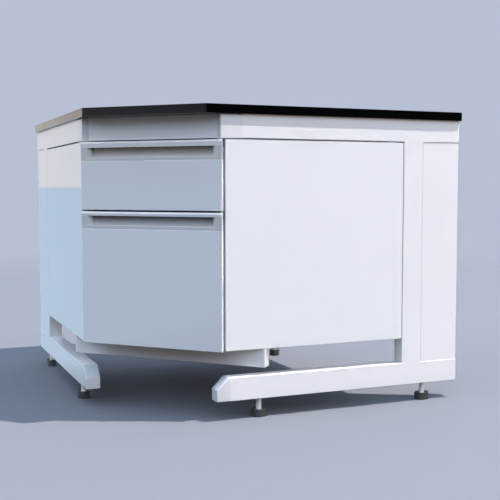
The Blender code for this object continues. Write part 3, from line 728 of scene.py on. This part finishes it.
# Hanger angles: rolled steel angle with a zinc spangle, bolted to the top beams from inside and screwed
# down on the cabinet with hexagon heads on washers.
BOLT_ACROSS = 0.013
BOLT_HEAD = 0.0053
BOLT_CHAMFER = 0.06 * BOLT_ACROSS
BOLT_CROWN = 0.08 * BOLT_HEAD
WASHER_RADIUS = 0.008
WASHER_THICK = 0.0016
WASHER_SIDES = 32
ANGLE_THICK = 0.003
ANGLE_LEG = 0.036
BEAM_BOLT_HEIGHT = 0.62 * ANGLE_LEG
CABINET_BOLT_SHIFT = 0.1 * ANGLE_LEG
BOLT_PLACES = (-0.150, 0.0, 0.150)

zinc_sheet, tree, shader = new_material("spangled_zinc_sheet")
shader.inputs["Metallic"].default_value = 1.0
spot = place(tree, "ShaderNodeTexCoord", "place on the sheet")
spangle = place(tree, "ShaderNodeTexVoronoi", "zinc crystals", Scale=170.0, Randomness=1.0)
bare = place(tree, "ShaderNodeSeparateColor", "one value per crystal")
crystal = ramp(tree, "tone of the crystals", (0.1, (0.58, 0.59, 0.61)), (0.9, (0.70, 0.71, 0.73)))
sheen = place(tree, "ShaderNodeMapRange", "gloss of the crystals", To_Min=0.28, To_Max=0.44)
wire(tree,
     (spot, "Object", spangle, "Vector"),
     (spangle, "Color", bare, "Color"),
     (bare, "Red", crystal, "Fac"),
     (crystal, "Color", shader, "Base Color"),
     (bare, "Green", sheen, "Value"),
     (sheen, "Result", shader, "Roughness"))

deselect()
bpy.ops.mesh.primitive_cylinder_add(vertices=WASHER_SIDES, radius=WASHER_RADIUS, depth=WASHER_THICK,
                                    location=(0.0, 0.0, WASHER_THICK / 2))
bolt = bpy.context.object
bolt.name = "hexagon_bolt"
bpy.ops.object.transform_apply(location=True)
bpy.ops.object.mode_set(mode="EDIT")
bpy.ops.mesh.primitive_cylinder_add(vertices=6, radius=BOLT_ACROSS / math.sqrt(3.0), depth=BOLT_HEAD,
                                    location=(0.0, 0.0, WASHER_THICK + BOLT_HEAD / 2))
pick_faces(lambda centre, normal: normal.z > 0.9 and centre.z > WASHER_THICK + BOLT_HEAD / 2)
bpy.ops.mesh.inset(thickness=BOLT_CHAMFER)
bpy.ops.mesh.extrude_region_move(TRANSFORM_OT_translate={"value": (0.0, 0.0, BOLT_CROWN)})
bpy.ops.object.mode_set(mode="OBJECT")
ease_edges(bolt, EASE)

for side in SIDES:
    dressed(side + "_hanger_angle", "bench", "zinc", zinc_sheet)
    angle_low, angle_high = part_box(side + "_hanger_angle")
    middle = Vector(((angle_low[0] + angle_high[0]) / 2, (angle_low[1] + angle_high[1]) / 2, angle_low[2]))
    along = along_side(side)
    inward = -out_of_side(side)
    upright = inward * (ANGLE_THICK - ANGLE_LEG / 2) + UP * BEAM_BOLT_HEIGHT
    lying = inward * CABINET_BOLT_SHIFT + UP * ANGLE_THICK
    for leg, seat, looks in (("beam", upright, inward), ("cabinet", lying, UP)):
        turn = looks.to_track_quat("Z", "Y").to_matrix().to_4x4()
        for number, shift in enumerate(BOLT_PLACES, start=1):
            seated = Matrix.Translation(middle + seat + along * shift) @ turn
            hand_over(copied(bolt, seated), f"{side}_{leg}_bolt_{number}", "bench", "zinc", plated_steel)
bpy.data.objects.remove(bolt)


# Runners: three cold-rolled channels, one inside the other, between each drawer side and a partition.
# The fixed member is screwed to the partition, and the inner one to the drawer.
LEVELS = ("upper", "lower")
for level in LEVELS:
    for side in SIDES:
        runner = f"{level}_{side}_runner_"
        dressed(runner + "fixed", "bench", "zinc", zinc_sheet)
        dressed(runner + "middle", f"{level}_{side}_slide", "zinc", zinc_sheet)
        dressed(runner + "drawer", level + "_drawer", "zinc", zinc_sheet)


# Drawer boxes: boards faced with white melamine, joined at the corners behind the front. The bottom is let
# into grooves in the sides.
for level in LEVELS:
    for board in ("right_side", "left_side", "back", "bottom"):
        dressed(f"{level}_drawer_{board}", level + "_drawer", "board", melamine)


# Drawer fronts: lacquered boards with a moulded grip along the top, which has a round lip over a finger
# recess. Their ends are cut back behind the face. Painted shade darkens the recess and the grip below the
# lip.
FACE_OVERHANG = 0.001
END_UNDERCUT = 0.0004
END_REACH = 0.004
RECESS_START = 0.004
RECESS_REACH = 0.008
RECESS_HEIGHT = 0.0255
LIP_HEIGHTS = {"upper": 0.0169, "lower": 0.0110}
LIP_DROPS = {"upper": 0.0010, "lower": 0.0}
LIP_SHINE = {"upper": 1.0, "lower": 0.45}
# Painted highlight: the upper grip's specular tint is warm, so the glint on its lip shows cream.
LIP_PAINTED_GLINT = {"upper": (1.0, 0.82, 0.62, 1.0), "lower": (1.0, 1.0, 1.0, 1.0)}
GRIP_GLOSS = {"upper": (0.06, 0.10), "lower": (0.30, 0.42)}
GRIP_TONES = ((0.84, 0.86, 0.88), (0.82, 0.83, 0.84))
BAND_SHADE = 0.23
RECESS_SHADE_TONE = (0.125, 0.112, 0.103, 1.0)
front_low, front_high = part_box("lower_drawer_front")


def undercut_ends():
    """Widen a front a little at its face and narrow it at its back."""
    half_width = front_high[0]
    middle = (front_low[1] + front_high[1]) / 2
    pick_points(lambda spot: abs(spot.x) > half_width - END_REACH and spot.y > middle)
    bpy.ops.transform.resize(value=(1.0 - END_UNDERCUT / half_width, 1.0, 1.0),
                             center_override=(0.0, 0.0, 0.0))
    pick_points(lambda spot: abs(spot.x) > half_width - END_REACH and spot.y < middle)
    bpy.ops.transform.resize(value=(1.0 + FACE_OVERHANG / half_width, 1.0, 1.0),
                             center_override=(0.0, 0.0, 0.0))


def shape_grip(level):
    """Undercut a grip's ends and lower its lip's top, to clear what stands above it."""
    undercut_ends()
    push_end(UP, -LIP_DROPS[level], reach=END_REACH)


# Painted shade: darker deeper behind the face and nearer the lip, with a band over all of the grip below the
# lip.
recess_painted_shade, given, result = new_effect("recess_painted_shade", "Mask", Face=0.0, Depth=0.014, Low=0.0, High=1.0,
                                         Band=0.0)
spot = place(recess_painted_shade, "ShaderNodeTexCoord", "place on the piece")
axes = place(recess_painted_shade, "ShaderNodeSeparateXYZ", "depth behind the face")
behind = maths(recess_painted_shade, "behind the face", "SUBTRACT")
share = maths(recess_painted_shade, "share of the depth", "DIVIDE")
share.use_clamp = True
upper = place(recess_painted_shade, "ShaderNodeMapRange", "thicker under the lip", To_Min=0.40)
both = maths(recess_painted_shade, "deep and high", "MULTIPLY")
below_lip = maths(recess_painted_shade, "below the lip", "LESS_THAN")
band = maths(recess_painted_shade, "painted shade band below the lip", "MULTIPLY")
thicker = maths(recess_painted_shade, "band or recess", "MAXIMUM")
wire(recess_painted_shade,
     (spot, "Object", axes, "Vector"),
     (axes, "Y", behind, 0),
     (given, "Face", behind, 1),
     (behind, "Value", share, 0),
     (given, "Depth", share, 1),
     (axes, "Z", upper, "Value"),
     (given, "Low", upper, "From Min"),
     (given, "High", upper, "From Max"),
     (share, "Value", both, 0),
     (upper, "Result", both, 1),
     (axes, "Z", below_lip, 0),
     (given, "High", below_lip, 1),
     (below_lip, "Value", band, 0),
     (given, "Band", band, 1),
     (both, "Value", thicker, 0),
     (band, "Value", thicker, 1),
     (thicker, "Value", result, "Mask"))

for level in LEVELS:
    dressed(level + "_drawer_front", level + "_drawer", "lacquer", lacquer, shape_up=undercut_ends)
    grip_lacquer = surface(level + "_grip_lacquer", GRIP_TONES, GRIP_GLOSS[level], grain_size=140.0,
                           grain_depth=0.00001, marks_size=18.0)
    tree = grip_lacquer.node_tree
    shader = tree.nodes["Principled BSDF"]
    shader.inputs["Specular IOR Level"].default_value = LIP_SHINE[level]
    shader.inputs["Specular Tint"].default_value = LIP_PAINTED_GLINT[level]
    under_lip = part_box(level + "_drawer_grip")[1][2] - LIP_HEIGHTS[level]
    shade_mask = use_effect(tree, recess_painted_shade, Face=front_low[1] + RECESS_START, Depth=RECESS_REACH,
                       Low=under_lip - RECESS_HEIGHT, High=under_lip, Band=BAND_SHADE)
    shaded_grip = blend(tree, "painted shade in the recess", RECESS_SHADE_TONE)
    wire(tree,
         (shade_mask, "Mask", shaded_grip, "Factor"),
         (tree.nodes["dust on the finish"], MIX_RESULT, shaded_grip, MIX_FIRST),
         (shaded_grip, MIX_RESULT, shader, "Base Color"))
    dressed(level + "_drawer_grip", level + "_drawer", "lacquer", grip_lacquer,
            shape_up=lambda: shape_grip(level))


# Worktop: a black solid-core slab with barely broken edges, screwed down on the frame from below. Its
# face has a fine pebble that scatters the gloss, and a pale speck here and there.
SLAB_EASE = 0.0005
black_top, tree, shader = new_material("black_pebbled_top")
spot = place(tree, "ShaderNodeTexCoord", "place on the top")
specks = place(tree, "ShaderNodeTexNoise", "specks", Scale=1500.0, Detail=2.0)
speck_tone = ramp(tree, "black with pale specks", (0.55, (0.0008, 0.0008, 0.001)),
                  (0.80, (0.004, 0.004, 0.0045)))
marks = use_effect(tree, handling_marks, Size=4.0)
sheen = place(tree, "ShaderNodeMapRange", "wiped and dull patches", To_Min=0.14, To_Max=0.18)
pebble = use_effect(tree, fine_grain, Size=800.0)
relief = place(tree, "ShaderNodeBump", "pebble", Strength=0.5, Distance=0.000024)
wire(tree,
     (spot, "Object", specks, "Vector"),
     (specks, "Fac", speck_tone, "Fac"),
     (speck_tone, "Color", shader, "Base Color"),
     (marks, "Mask", sheen, "Value"),
     (sheen, "Result", shader, "Roughness"),
     (pebble, "Height", relief, "Height"),
     (relief, "Normal", shader, "Normal"))
top_low, top_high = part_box("worktop")


def square_edges():
    """Close the band of the slab's upright edges with a flat face above and below."""
    pick_faces(lambda centre, normal: abs(normal.z) > 0.1)
    bpy.ops.mesh.delete(type="FACE")
    middle = (top_low[2] + top_high[2]) / 2
    for height, upper in ((top_high[2], True), (top_low[2], False)):
        pick_points(lambda spot: (spot.z > middle) == upper)
        bpy.ops.transform.resize(value=(1.0, 1.0, 0.0))
        level = next(point.co.z for point in bmesh.from_edit_mesh(bpy.context.edit_object.data).verts
                     if (point.co.z > middle) == upper)
        bpy.ops.transform.translate(value=(0.0, 0.0, height - level))
        bpy.ops.mesh.edge_face_add()
    bpy.ops.mesh.select_all(action="SELECT")
    bpy.ops.mesh.normals_make_consistent(inside=False)


dressed("worktop", "bench", "worktop", black_top, ease=SLAB_EASE, shape_up=square_edges)
